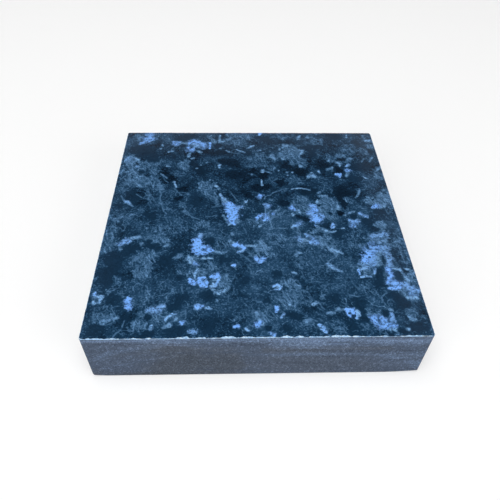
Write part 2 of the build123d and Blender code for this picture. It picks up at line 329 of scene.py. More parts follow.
# Hairlines: tone in percent, and points
HAIRLINES = [
    # back
    (48, (-36.3, 29.6), (-35.8, 27.4)), (48, (-34.5, 31.6), (-35.4, 28.8)),
    (42, (-8.8, 36.8), (-7, 35.8), (-4.5, 35.8)), (48, (35.2, 35.2), (33.6, 32.9)),
    (44, (-32.6, 19.7), (-31.3, 17.8)), (50, (-14.6, 19), (-13.3, 16.6)), (40, (9.2, 20.2), (7.5, 18)),
    (42, (14.8, 18.6), (13.4, 17.2)),
    # left
    (46, (-46.9, 10.3), (-46, 8.4), (-45.4, 7.6)), (44, (-41.6, 11.3), (-39.7, 9.4)),
    (48, (-33.4, 14.2), (-33, 9.5), (-32.3, 6), (-31.1, 2.5), (-30.3, 1.2)), (42, (-36.6, 11.2), (-35.2, 8)),
    (40, (-38.6, 3.8), (-38.2, 1.2)), (42, (-30, -1.2), (-29.2, -3.2)), (40, (-36.9, 6.6), (-35.9, 4)),
    (46, (-28, 14), (-27, 12.6), (-26, 11.2)), (46, (-24, 3.9), (-22.8, 1.2), (-20.6, -0.9), (-18.8, -1.9)),
    (42, (-34, -6), (-34.6, -9.5)), (52, (-33.2, -16.5), (-32.7, -19), (-32, -21.2)),
    (46, (-37.4, -22.8), (-36.6, -26.2)), (46, (-34.1, -22.4), (-32.8, -25.4)),
    (54, (-45.1, -32.5), (-44.2, -33.5), (-42.9, -32.6)), (44, (-47.4, -39.2), (-46.9, -43.4)),
    (46, (-38, -44), (-38.4, -46), (-40, -48.5), (-40.6, -49.5)),
    (46, (-20.8, -40.2), (-20.9, -42.5), (-21.4, -44.2)), (44, (-22.6, -31.7), (-22.1, -33.8)),
    # middle
    (52, (4, 10.7), (4.3, 9.7), (4.1, 8.6)),
    (48, (5, 10.3), (6.4, 10.4), (7.4, 12), (8.9, 12.7), (10.2, 13.4), (11.2, 13.9), (12.6, 14.2)),
    (44, (-7.8, 12.2), (-6.6, 9.8), (-5.5, 7.5)), (42, (-16, -0.8), (-14.5, -0.5), (-13, 0.3)),
    (40, (-14.6, 4.4), (-11.4, 5)), (52, (4.3, 3.8), (4.2, 1.2)),
    (62, (5.2, 1.8), (5.3, -0.6), (5.6, -3), (5.8, -5), (6.3, -6.4)),
    (54, (6.3, -6.4), (7.6, -6.6), (9, -6.5), (10, -6.5), (11.2, -6.6)), (52, (5.2, 1.4), (6.4, 2.6)),
    (52, (5.7, -2.6), (6.6, -1), (8.4, -0.4)), (46, (6.2, -1.4), (7.2, 0.6), (8.4, 2.4)),
    (46, (7, 1.2), (7.8, 3.6)), (48, (8.8, 2.4), (9.7, 4)), (48, (10, 0.6), (11.3, 2.4)),
    (44, (7.6, -0.6), (9.4, 0.4)), (44, (4.2, -7.8), (5.2, -10.8)),
    (40, (-3.9, -4.8), (-3.2, -7), (-2.6, -8.7)), (50, (1, -17.4), (1.7, -19.5)),
    # front
    (44, (-2.7, -23), (-1.8, -24.4), (-1, -26.3)), (44, (-5.6, -17.2), (-3.6, -19.2), (-1.8, -21.3)),
    (42, (-4.4, -19), (-2.4, -20.2)), (42, (-8.2, -32.2), (-9.6, -33.8)), (42, (-9.4, -28.4), (-8.8, -31)),
    (48, (7.8, -33.3), (8.6, -35.5), (9.4, -37.4)), (44, (6.4, -34.2), (7.5, -37.6)),
    (42, (10.6, -30.4), (12, -32), (13.2, -34.6)), (44, (11.2, -34), (11.8, -37)),
    (46, (13.6, -44.4), (15, -44), (16.6, -44.4)), (46, (16.5, -38.5), (18, -37.9), (19.4, -39.7)),
    (44, (20.3, -33), (22, -30.9)), (46, (23.6, -31.6), (24.7, -32.6)), (42, (20.6, -19.4), (21.8, -21.3)),
    (44, (23.8, -11.8), (25.6, -14.2), (27.2, -16.6)), (40, (28.4, -27), (29.4, -30.2), (31.2, -33.2)),
    (50, (28, -35.3), (30.4, -35.5)), (48, (38.9, -34.9), (37.5, -36), (37.3, -37.6)),
]

# Dark pools. The small ones cut through mists and flakes.
POOLS = [
    # back
    (12, (-10.5, 47.5, 1.5)), (11, (-13.5, 41.2, 1.4)), (15, (4.5, 46.5, 1.7), (7.5, 44.5, 1.4)),
    (12, (12.4, 43.2, 1), (14.2, 43.6, 1.2), (16.8, 42, 1)), (15, (2.6, 41.8, 0.8)),
    (9, (-18, 37, 1.5), (-14.5, 36.2, 1.9), (-11.5, 35.8, 1.4)), (15, (-0.9, 35.7, 0.9)),
    (8, (-12, 31, 1.2), (-7, 29.5, 2), (-5, 27, 1.2)), (6, (0, 25, 1.6)),
    (8, (-7, 22.5, 2.2), (-4, 22.3, 2.4)), (6, (4.7, 21.6, 1.7)), (8, (13, 27.5, 2.3)),
    (11, (-22.8, 29, 1.5), (-18.5, 23.5, 1.5)), (6, (-33.5, 25.5, 1.6), (-32.5, 23.5, 1.2)),
    (6, (-29.5, 21, 1.4)), (6, (-32.5, 17.5, 1.2)), (15, (-41.5, 24, 0.9)),
    (15, (-44, 38, 2.6), (-39, 35.5, 2.4), (-37.5, 31, 1.4)), (15, (-24, 47.5, 1.8), (-28.5, 45.5, 1.2)),
    (15, (42.5, 42.5, 1.9)), (15, (34.5, 47.5, 2.2)), (15, (47.5, 37.5, 1.4)), (15, (30.5, 44.8, 1.2)),
    (15, (24, 35, 1.1), (24.5, 37.5, 0.9)), (15, (28, 40.5, 2), (22.5, 39.5, 1.2)),
    (7, (34, 32.2, 0.8), (35.6, 31.9, 0.9)), (8, (28, 28, 2.2)), (6, (33, 25, 1.7)),
    (15, (41, 27, 2), (44, 27.5, 2)), (15, (39, 20, 2)), (6, (18.5, 24, 2)),
    # middle
    (15, (-44, 11.5, 1.4), (-41.5, 9, 1.4)), (15, (-47, 5, 1.4)), (6, (-26.5, 9, 1)), (6, (-25, 14.5, 1.4)),
    (15, (-35, -0.5, 1.3), (-37, 0.7, 0.9)), (15, (-34.5, -12.5, 0.8)),
    (15, (-40.5, -15.5, 2.3), (-36.5, -15, 1.6), (-32, -14.5, 1.3)), (15, (-20, 8, 2)), (15, (-12, 1, 1)),
    (8, (-3, 12.4, 1.3), (-1.5, 10.5, 1.3)), (6, (2, 15, 1.6), (5.5, 15.5, 1.3)),
    (9, (10.6, 6.3, 1.2), (12, 6.5, 1)), (6, (10.5, 18, 1.6)), (15, (7, 3.8, 0.8)), (15, (2.4, 2.5, 1.2)),
    (15, (-3, -0.7, 1.3)), (15, (-14.4, -12.2, 1.1)), (12, (18, 12.3, 1.5), (22.6, 12.5, 1.1)),
    (8, (33, 13, 2.4), (31.5, 8.5, 1.6), (32.5, 5, 1.4)), (5, (23.2, 5.1, 0.6)), (10, (26.8, 1, 0.5)),
    (6, (30.4, 1, 0.9)), (9, (18.3, -2.3, 1.3), (16, -0.6, 1)), (15, (44.5, 1.5, 1.7)),
    (15, (39.3, -2.8, 1.7), (41.3, -7.3, 1.3)), (15, (28.5, -9.2, 1.6)), (15, (24.3, -5.5, 0.9)),
    (15, (34.5, -0.7, 0.9)),
    # front
    (15, (-46, -19, 2.2), (-43.5, -20, 1.7), (-46, -28, 2.4)), (15, (-28, -21, 1.7), (-25, -17, 1)),
    (15, (-23.3, -27.5, 0.9)), (15, (-43, -36.5, 1.8)), (15, (-38, -43.5, 1.3)),
    (15, (-24, -47.5, 2), (-21.5, -47, 1.6)), (15, (-34, -48.5, 1), (-30.5, -48.3, 0.9)),
    (15, (-31.5, -42.6, 0.8)), (15, (-22.5, -36, 1.6), (-25, -39.5, 1.2)), (15, (-46, -46.5, 1.8)),
    (15, (-10, -21, 1.8)), (15, (-14.5, -35.5, 1.6)), (16, (-14.5, -46, 1.6), (-12, -44, 1)),
    (16, (3.5, -37, 1.2)), (15, (9, -42, 1), (12, -42.8, 1)), (15, (3, -46.6, 0.9)), (15, (8, -46.8, 1.2)),
    (15, (6.6, -26.6, 1.2)), (15, (-3, -29, 1.2)), (15, (37.3, -42, 0.9)),
    (15, (38.6, -25.5, 1), (38, -28, 1.4), (37.8, -31, 1.6)), (15, (42, -36, 1.6), (43.5, -39, 2)),
    (15, (30.5, -38, 1.5), (31, -44, 1)), (15, (41, -48.2, 0.8), (46.5, -46, 1.6)), (15, (27, -46.5, 1.8)),
    (15, (23, -36.5, 1.6)), (18, (36.6, -20.1, 0.35)), (20, (44.2, -27, 0.8), (44.6, -28.6, 0.8)),
    (15, (27.7, -43, 0.5)), (15, (26.7, -42, 0.3)), (18, (41.2, -19.8, 0.35), (40.9, -22.5, 0.45)),
]

# Broad patches where the ground is darker or lighter: amount of tone in percent, x, y and reach
SHADES = [
    (-3, -22, 28, 9), (-6, -6, 18, 10), (-4, -33, 10, 8), (-4, 5, 35, 8), (-4, 28, 26, 10), (-4, 40, 25, 8),
    (-4, -14, -3, 5), (6, 4, -7, 8), (5, 2, -42, 10), (4, 18, -8, 8), (5, 45, -12, 12), (-4, 29, -15.5, 4),
    (-3, 46, 34, 6), (3, -11, 33, 8), (4, 9, 25, 8), (4, 11, -5, 10), (4, 8, -36, 6), (3, -47, -20, 8),
    (3, -30, -24, 4), (3, 38, 27, 5), (-3, -11, -38, 4), (-2, -30, 36, 5), (4, 22, 46, 6), (4, -15, 45, 5),
    (4, -6, -18, 8), (3, 4, -30, 8), (-3, -28, 24, 30), (-3, 28, 24, 30),
]

# Pale bands, warmer patches, painted sheen and painted shade of the sawn sides: strength in percent, and
# then points: along the side from its middle, depth below the face, and half width
PALE_BANDS_AND_TOP_SHEEN = [
    # The first band is a painted reflection of the sky, which makes the top of every side paler and bluer
    (100, (-50, 0.8, 0.8), (-20, 1.3, 1.2), (0, 1.4, 2), (28, 1.9, 2.1), (50, 1.6, 1.5)),
    (50, (-4, 9, 0.5), (16, 9, 0.6), (32, 9.3, 0.7), (44, 8.9, 1.3), (50, 8.4, 1.8)),
    (70, (36, 9.8, 0.6), (43, 11.8, 0.9), (50, 15.5, 1.6)),
    (40, (-47, 10, 0.5), (-42, 6.5, 0.6), (-28, 3.4, 0.8)),
    (30, (-46, 16, 0.5), (-34, 11.5, 0.5), (-25, 9, 0.4)),
]
WARM_PATCHES_AND_FOOT_SHADE = [
    (75, (-26, 7, 4), (-25, 13, 7), (-14, 14, 7), (-5, 13, 5.5)),
    (50, (2, 6.5, 1.2), (20, 6, 1), (38, 6.3, 1)), (30, (-2, 13, 6), (16, 14.5, 5), (32, 14.5, 3.5)),
    # The last patch is painted shade, a contact shadow darkening the foot along part of each side
    (90, (-48, 19.5, 2), (-12, 19.5, 2)),
]

# How the strokes are read
PERCENT = 100
STROKE_PULL = 12        # how sharply a place takes the tone of its nearest stroke
FAR = 100.0             # farther than any hairline
WAVER_SIZE = 3.0        # noise that bends the outlines of the strokes
WAVER_AMOUNT = 0.35
WAVER_WAVES = 3
WAVER_SEED = 4          # fixed, so that each run gives the same pattern

# Camera: place in millimetres and turn in degrees, worked out from the tile's corners in a 500 by 500 picture
CAMERA_PLACE = (-6.71, -128.72, 140.08)
CAMERA_TURN = (43.10, -1.08, -1.43)
CAMERA_SENSOR = 36.0
CAMERA_LENS = 36.53
CAMERA_NEAREST = 0.01


def linear(red, green, blue):
    """A colour as seen on a screen, 0 to 255, as the linear values that shaders take."""
    levels = []
    for value in (red, green, blue):
        level = value / 255
        levels.append(level / 12.92 if level <= 0.04045 else ((level + 0.055) / 1.055) ** 2.4)
    return (*levels, 1.0)


def ripple(place, size, seed):
    """Smooth noise of about -1 to 1 along a line, with features of that size."""
    return noise.fractal(Vector((place / size, seed, 0.5)), RIPPLE_FADE, RIPPLE_FINER, RIPPLE_WAVES)


def ripples(place, rows, shift=0):
    """The sum of several ripples. A shift of their seeds gives other ones of the same kind."""
    return sum(amount * ripple(place, size, seed + shift) for amount, size, seed in rows)


class Builder:
    """Gathers the places and faces of a mesh, and which group each face is in."""

    def __init__(self):
        self.places = []
        self.faces = []
        self.groups = []

    def place(self, x, y, z):
        self.places.append((x, y, z))
        return len(self.places) - 1

    def face(self, corners, group):
        self.faces.append(corners)
        self.groups.append(group)


# Groups of faces
FACE, CHIP, SIDE, BED = range(4)

# The four sides, counter-clockwise from the front: direction along the side, and outwards
SIDES = [
    ((1, 0), (0, -1)),
    ((0, 1), (1, 0)),
    ((-1, 0), (0, 1)),
    ((0, -1), (-1, 0)),
]
FRONT = 0


def side_spans(side):
    """Half the length of a side, and its distance from the middle of the tile."""
    if side % 2 == 0:
        return LENGTH / 2, WIDTH / 2
    return WIDTH / 2, LENGTH / 2


def side_place(side, along, inset):
    """Plan position of a point on a side: along it from its middle, and inset from its plane."""
    (ax, ay), (ox, oy) = SIDES[side]
    reach = side_spans(side)[1] - inset
    return ax * along + ox * reach, ay * along + oy * reach


def chip_reach(side, along):
    """How far the chipped edge reaches into the face, and how far down the side."""
    if side == FRONT:
        reach = FRONT_REACH + FRONT_SWELL * math.exp(-(along / FRONT_SWELL_LENGTH) ** 2)
        reach += ripples(along, FRONT_REACH_RIPPLES)
        for middle, half, extra in FRONT_CHIPS:
            reach += extra * math.exp(-((along - middle) / half) ** 2)
        drop = FRONT_DROP + ripples(along, FRONT_DROP_RIPPLES)
        sharper = max(0.0, (along - SHARPER_FROM) / SHARPER_LENGTH)
        broken = min(1.0, max(0.0, BROKEN_SHARE + ripples(along, BROKEN_RIPPLES) - sharper))
        reach *= SHARP_REACH + (1 - SHARP_REACH) * broken
        drop *= SHARP_DROP + (1 - SHARP_DROP) * broken
    else:
        reach = OTHER_REACH + ripples(along, OTHER_REACH_RIPPLES, side)
        drop = OTHER_DROP + ripples(along, OTHER_DROP_RIPPLES, side)
    return max(reach, LEAST_REACH), max(drop, LEAST_DROP)


def worn_corner(side, along):
    """How much the lower edge is worn away: more towards the front corners."""
    if side != FRONT:
        return 0.0
    start, height = RIGHT_WEAR if along > 0 else LEFT_WEAR
    share = max(0.0, (abs(along) - start) / (LENGTH / 2 - start))
    return height * share ** WEAR_CURVE


def chip_row(reach_share, drop_share):
    """A row of the chipped edge, for a ring."""
    def row(side, along):
        reach, drop = chip_reach(side, along)
        between = 4 * reach_share * (1 - reach_share)
        rough = 1 + CHIP_ROUGHNESS * between * ripple(along, CHIP_ROUGH_SIZE, CHIP_ROUGH_SEED + reach_share)
        return reach * reach_share * rough, THICKNESS - drop * drop_share
    return row


def side_row(share):
    """A row of the sawn sides, for a ring: 0 is the top one, and 1 the one at the lower bevel."""
    def row(side, along):
        top = THICKNESS - SIDE_TOP
        foot = BED_ARRIS + worn_corner(side, along)
        return 0.0, top + (foot - top) * share
    return row


def bed_row(side, along):
    """The outline of the bed face, for a ring."""
    return BED_ARRIS + BED_WEAR * worn_corner(side, along), 0.0


def ring(builder, steps, corner_steps, row):
    """A ring of places round the tile. row(side, along) gives the inset and height of a place. Returns the
    places of each side, and those of each corner from the end of a side to the start of the next."""
    sides = []
    for side in range(4):
        half = side_spans(side)[0] - CORNER_ARRIS
        line = []
        for step in range(steps + 1):
            along = half * (2 * step / steps - 1)
            inset, height = row(side, along)
            line.append(builder.place(*side_place(side, along, inset), height))
        sides.append(line)
    corners = []
    for side in range(4):
        first = sides[side][-1]
        last = sides[(side + 1) % 4][0]
        line = [first]
        start = builder.places[first]
        end = builder.places[last]
        for step in range(1, corner_steps):
            share = step / corner_steps
            line.append(builder.place(*(a + share * (b - a) for a, b in zip(start, end))))
        line.append(last)
        corners.append(line)
    return sides, corners


def grid(builder, steps, inset, height):
    """An even grid of places, and its rim as a ring."""
    half_x = LENGTH / 2 - inset
    half_y = WIDTH / 2 - inset
    rows = []
    for j in range(steps + 1):
        y = half_y * (2 * j / steps - 1)
        rows.append([builder.place(half_x * (2 * i / steps - 1), y, height) for i in range(steps + 1)])
    front = rows[0]
    right = [row[-1] for row in rows]
    back = rows[-1][::-1]
    left = [row[0] for row in rows[::-1]]
    sides = [front, right, back, left]
    corners = [[side[-1]] for side in sides]
    return rows, (sides, corners)


def fill_grid(builder, rows, group, flip):
    """The square faces of a grid."""
    for low, high in zip(rows, rows[1:]):
        for i in range(len(low) - 1):
            corners = [low[i], low[i + 1], high[i + 1], high[i]]
            builder.face(corners[::-1] if flip else corners, group)


def join(builder, outer, inner, group):
    """Faces between two rings, seen with the outer one below the inner one. Either may have finer steps."""
    outer_sides, outer_corners = outer
    inner_sides, inner_corners = inner
    for side in range(4):
        low = outer_sides[side]
        high = inner_sides[side]
        faces = min(len(low), len(high)) - 1
        low_step = (len(low) - 1) // faces
        high_step = (len(high) - 1) // faces
        for k in range(faces):
            below = low[k * low_step:(k + 1) * low_step + 1]
            above = high[k * high_step:(k + 1) * high_step + 1]
            builder.face(below + above[::-1], group)
        join_corner(builder, outer_corners[side], inner_corners[side], group)


def join_corner(builder, low, high, group):
    """The faces of one upright corner."""
    if len(low) == len(high):
        for k in range(len(low) - 1):
            builder.face([low[k], low[k + 1], high[k + 1], high[k]], group)
    else:
        builder.face(low + high[::-1], group)


def tile_mesh():
    """The whole stone as one closed mesh: face, chipped edge, four sides, lower bevel and bed face."""
    builder = Builder()
    face_rows, above = grid(builder, FACE_STEPS, FACE_INSET, THICKNESS)
    fill_grid(builder, face_rows, FACE, flip=False)
    for index, shares in enumerate(CHIP_ROWS):
        below = ring(builder, EDGE_STEPS, CORNER_STEPS, chip_row(*shares))
        join(builder, below, above, CHIP if index else FACE)
        above = below
    for step in range(SIDE_ROWS):
        below = ring(builder, SIDE_STEPS, 1, side_row(step / (SIDE_ROWS - 1)))
        join(builder, below, above, SIDE)
        above = below
    bed_ring = ring(builder, SIDE_STEPS, 1, bed_row)
    join(builder, bed_ring, above, SIDE)
    bed_rows, bed_rim = grid(builder, BED_STEPS, BED_INSET, 0.0)
    join(builder, bed_rim, bed_ring, BED)
    fill_grid(builder, bed_rows, BED, flip=True)
    return builder


def nearness(x, y, strokes):
    """For each place, how near it is to the strokes: 1 on a middle line, 0.5 on an outline and 0 a half width
    outside it. Also the nearest stroke's tone and half width, blended where strokes meet."""
    best = np.full(len(x), -1.0)
    weight = np.zeros(len(x))
    tone = np.zeros(len(x))
    width = np.zeros(len(x))
    for stroke_tone, *points in strokes:
        near = np.full(len(x), -1.0)
        half_width = np.zeros(len(x))
        ends = zip(points, points[1:]) if len(points) > 1 else [(points[0], points[0])]
        for (x0, y0, r0), (x1, y1, r1) in ends:
            dx = x1 - x0
            dy = y1 - y0
            span = dx * dx + dy * dy
            share = np.clip(((x - x0) * dx + (y - y0) * dy) / span, 0, 1) if span else np.zeros(len(x))
            gap = np.hypot(x - x0 - share * dx, y - y0 - share * dy)
            radius = r0 + share * (r1 - r0)
            now = 1 - gap / (2 * radius)
            half_width = np.where(now > near, radius, half_width)
            near = np.maximum(near, now)
        pull = np.exp(STROKE_PULL * near)
        weight += pull
        tone += pull * (stroke_tone / PERCENT)
        width += pull * half_width
        best = np.maximum(best, near)
    return best, tone / weight, width / weight


def beside(x, y, lines):
    """For each place, its distance from the nearest line, that distance with a sign for the line's side, and
    the line's tone."""
    best = np.full(len(x), FAR)
    side = np.full(len(x), FAR)
    tone = np.zeros(len(x))
    for line_tone, *points in lines:
        for (x0, y0), (x1, y1) in zip(points, points[1:]):
            dx = x1 - x0
            dy = y1 - y0
            length = math.hypot(dx, dy)
            share = np.clip(((x - x0) * dx + (y - y0) * dy) / length ** 2, 0, 1)
            gap = np.hypot(x - x0 - share * dx, y - y0 - share * dy)
            nearer = gap < best
            best = np.where(nearer, gap, best)
            side = np.where(nearer, ((x - x0) * dy - (y - y0) * dx) / length, side)
            tone = np.where(nearer, line_tone / PERCENT, tone)
    return best, side, tone


def patches(x, y, rows):
    """The sum of soft round patches of tone."""
    total = np.zeros(len(x))
    for tone, patch_x, patch_y, reach in rows:
        total += tone / PERCENT * np.exp(-((x - patch_x) ** 2 + (y - patch_y) ** 2) / reach ** 2)
    return total


def wavering(points):
    """The places moved about by smooth noise, so that the strokes lose their even outlines."""
    noise.seed_set(WAVER_SEED)
    moved = points.copy()
    for index, point in enumerate(points):
        push = noise.turbulence_vector(Vector(point / WAVER_SIZE), WAVER_WAVES, False)
        moved[index, 0] += WAVER_AMOUNT * push.x
        moved[index, 1] += WAVER_AMOUNT * push.y
    return moved


def side_coordinates(places):
    """Distance along the nearest side from its middle, and depth below the face. Every other side runs
    backwards, so that the bands meet at the corners."""
    x = places[:, 0]
    y = places[:, 1]
    on_end = np.abs(x) > np.abs(y)
    along = np.where(on_end, y * -np.sign(x), x)
    return along, THICKNESS - places[:, 2]


def store(mesh, names, layers):
    """Stores layers of values on the mesh for the materials to read. Layers without a name are left out."""
    for name, values in zip(names, layers):
        layer = mesh.attributes.new(name, "FLOAT", "POINT")
        layer.data.foreach_set("value", values.astype(np.float32))


def lay_out_pattern(mesh, places):
    """Stores where the strokes and shades of the face lie, and the bands, warmer patches, painted sheen and
    painted shade of the sides.
    """
    moved = wavering(places)
    x = moved[:, 0]
    y = moved[:, 1]
    store(mesh, ("near_flake", "flake_tone", "flake_width"), nearness(x, y, FLAKES))
    store(mesh, ("near_mist", "mist_tone"), nearness(x, y, MISTS))
    store(mesh, ("near_pool", "pool_tone", "pool_width"), nearness(x, y, POOLS))
    store(mesh, ("line_gap", "line_side", "line_tone"), beside(x, y, HAIRLINES))
    store(mesh, ("shade",), (patches(x, y, SHADES),))
    along, depth = side_coordinates(places)
    store(mesh, ("near_band_or_top_sheen", "band_or_top_sheen_strength"), nearness(along, depth, PALE_BANDS_AND_TOP_SHEEN))
    store(mesh, ("near_warm_or_foot_shade", "warm_or_foot_shade_strength"), nearness(along, depth, WARM_PATCHES_AND_FOOT_SHADE))


# Places of the unwrapped faces in the square map: left, bottom, width and height
FACE_MAP = (0.004, 0.004, 0.808, 0.808)
BED_MAP = (0.822, 0.822, 0.172, 0.172)
SIDE_MAPS = [
    (0.004, 0.820, 0.808, 0.084),
    (0.820, 0.004, 0.084, 0.808),
    (0.004, 0.912, 0.808, 0.084),
    (0.912, 0.004, 0.084, 0.808),
]


def nearest_side(normal):
    """The side that a face belongs to. A corner's bevel goes with the side before it."""
    return max(range(4), key=lambda side: normal.x * SIDES[side][1][0] + normal.y * SIDES[side][1][1])


def unwrap(mesh, groups):
    """Lays the surface out in one square map, with most of the room for the decorated face."""
    layer = mesh.uv_layers.new(name="OFBake")
    for polygon in mesh.polygons:
        group = groups[polygon.index]
        side = nearest_side(polygon.normal)
        for loop in polygon.loop_indices:
            x, y, z = mesh.vertices[mesh.loops[loop].vertex_index].co / MM
            across = x / LENGTH + 0.5
            back = y / WIDTH + 0.5
            if group in (FACE, CHIP):
                box, u, v = FACE_MAP, across, back
            elif group == BED:
                box, u, v = BED_MAP, across, back
            else:
                box = SIDE_MAPS[side]
                up = z / THICKNESS
                u, v = (across, up) if side % 2 == 0 else (up, back)
            layer.data[loop].uv = (box[0] + box[2] * u, box[1] + box[3] * v)


# Hairs of the face: lean in degrees, length in millimetres and strength. Most lean to the left.
HAIRS = [(8, 3.0, 0.9), (34, 2.4, 0.9), (-38, 1.8, 0.5), (76, 1.8, 0.6)]
HAIR_WIDTH = 0.26
HAIR_EDGE = 0.34        # levels of the noise at the edge and in the middle of a hair
HAIR_CORE = 0.50


class Shader:
    """A material with one principled surface, and short calls for the nodes that feed it."""

    def __init__(self, name):
        self.material = bpy.data.materials.new(name)
        self.material.use_nodes = True
        self.tree = self.material.node_tree
        self.tree.nodes.clear()
        self.surface = self.node("ShaderNodeBsdfPrincipled")
        self.node("ShaderNodeOutputMaterial", {"Surface": self.surface.outputs["BSDF"]})

    def node(self, kind, inputs=None, **settings):
        """A new node with its settings, and its inputs by name or number."""
        made = self.tree.nodes.new(kind)
        for name, value in settings.items():
            setattr(made, name, value)
        for name, value in (inputs or {}).items():
            self.feed(made.inputs[name], value)
        return made

    def feed(self, socket, value):
        """Links an input to another node's output, or sets it to a constant."""
        if isinstance(value, bpy.types.NodeSocket):
            self.tree.links.new(value, socket)
        else:
            socket.default_value = value

    def set(self, **values):
        """Sets or links inputs of the surface, by their names with _ for spaces."""
        for name, value in values.items():
            self.feed(self.surface.inputs[name.replace("_", " ")], value)

    def place(self, stretch=(1, 1, 1)):
        """Position on the stone in millimetres, times a stretch."""
        position = self.node("ShaderNodeTexCoord").outputs["Object"]
        scale = [value / MM for value in stretch]
        return self.node("ShaderNodeMapping", {"Vector": position, "Scale": scale}).outputs["Vector"]

    def attribute(self, name):
        return self.node("ShaderNodeAttribute", attribute_name=name).outputs["Fac"]

    def math(self, operation, *values):
        return self.node("ShaderNodeMath", dict(enumerate(values)), operation=operation).outputs["Value"]

    def times(self, first, second):
        return self.math("MULTIPLY", first, second)

    def add(self, *parts):
        """A sum. A part in brackets is a value and its weight."""
        values = [self.times(*part) if isinstance(part, tuple) else part for part in parts]
        total = values[0]
        for value in values[1:]:
            total = self.math("ADD", total, value)
        return total

    def step(self, value, low, high, to_low=0.0, to_high=1.0):
        """A smooth change from to_low at low to to_high at high."""
        levels = {"Value": value, "From Min": low, "From Max": high, "To Min": to_low, "To Max": to_high}
        return self.node("ShaderNodeMapRange", levels, interpolation_type="SMOOTHSTEP").outputs["Result"]

    def fall(self, value, low, high):
        """A smooth fall from 1 at low to 0 at high."""
        return self.step(value, low, high, 1.0, 0.0)

    def noise(self, place, size, detail=3.0, roughness=0.55):
        """Smooth noise with features of that size in millimetres, mostly between -1 and 1."""
        levels = {"Vector": place, "Scale": 1 / size, "Detail": detail, "Roughness": roughness}
        return self.math("MULTIPLY_ADD", self.node("ShaderNodeTexNoise", levels).outputs["Fac"], 4, -2)

    def warp(self, place, size, amount):
        """A place pushed about by noise, up to about that many millimetres."""
        push = self.node("ShaderNodeTexNoise", {"Vector": place, "Scale": 1 / size}).outputs["Color"]
        start = {0: place, 1: (2 * amount,) * 3}
        start = self.node("ShaderNodeVectorMath", start, operation="SUBTRACT").outputs["Vector"]
        moved = {0: push, 1: (4 * amount,) * 3, 2: start}
        return self.node("ShaderNodeVectorMath", moved, operation="MULTIPLY_ADD").outputs["Vector"]

    def cells(self, place, size):
        """A random number of -0.5 to 0.5 for each of many angular cells."""
        cell = self.node("ShaderNodeTexVoronoi", {"Vector": place, "Scale": 1 / size})
        parts = self.node("ShaderNodeSeparateColor", {"Color": cell.outputs["Color"]})
        return self.math("SUBTRACT", parts.outputs["Red"], 0.5)

    def hairs(self, place, angle, length):
        """Short thin lines of about that length, leaning by an angle from the y axis: 1 on a line and 0
        beside it."""
        scale = (2 * HAIR_WIDTH, 2 * length, 1)
        turn = {"Vector": place, "Rotation": (0, 0, math.radians(angle)), "Scale": scale}
        turned = self.node("ShaderNodeMapping", turn, vector_type="TEXTURE").outputs["Vector"]
        return self.step(self.noise(turned, 1.0, 1, 0.5), HAIR_EDGE, HAIR_CORE)

    def threads(self, place, size, width):
        """Thin wandering lines: 1 on a line and 0 beside it."""
        level = self.math("ABSOLUTE", self.noise(place, size, 2, 0.5))
        return self.fall(level, 0.3 * width, width)

    def in_patches(self, marks, place, size, low, high):
        """Marks that show only where noise of that size rises from low to high."""
        return self.times(marks, self.step(self.noise(place, size, 2), low, high))

    def blend(self, share, first, second):
        """A number between first and second."""
        made = self.node("ShaderNodeMix", {"Factor": share, "A": first, "B": second}, data_type="FLOAT")
        return made.outputs["Result"]

    def mix(self, share, first, second):
        """A colour between first and second."""
        made = self.node("ShaderNodeMix", {"Factor": share}, data_type="RGBA")
        colours = [socket for socket in made.inputs if socket.type == "RGBA"]
        self.feed(colours[0], first)
        self.feed(colours[1], second)
        return [socket for socket in made.outputs if socket.type == "RGBA"][0]

    def ramp(self, value, stops):
        """A colour picked by a value along a row of stops."""
        made = self.node("ShaderNodeValToRGB", {"Fac": value})
        elements = made.color_ramp.elements
        while len(elements) < len(stops):
            elements.new(0.5)
        for element, (position, colour) in zip(elements, stops):
            element.position = position
            element.color = linear(*colour)
        return made.outputs["Color"]

    def bump(self, height, depth):
        """Fine relief of that depth in millimetres."""
        made = self.node("ShaderNodeBump", {"Distance": depth * MM, "Height": height})
        self.set(Normal=made.outputs["Normal"])


# Tones of the face, from 0, black, to 1, the palest blue
GROUND_TONE = 0.20
PIT_TONE = 0.26         # pits in the flakes
MIST_FALL = -0.10       # added to a mist's tone, under its hairs

# Tones and their colours as seen on a screen: the ground with its mists, and the flakes
GROUND_COLOURS = [
    (0.00, (0, 10, 20)),
    (0.08, (7, 27, 45)),
    (0.19, (21, 50, 75)),
    (0.28, (36, 69, 99)),
    (0.42, (60, 95, 128)),
    (0.60, (87, 127, 168)),
    (0.77, (115, 160, 208)),
    (0.90, (135, 184, 232)),
]
FLAKE_COLOURS = [
    (0.00, (4, 14, 28)),
    (0.19, (26, 50, 78)),
    (0.42, (60, 92, 136)),
    (0.60, (83, 124, 182)),
    (0.77, (104, 155, 228)),
    (0.90, (121, 177, 252)),
]


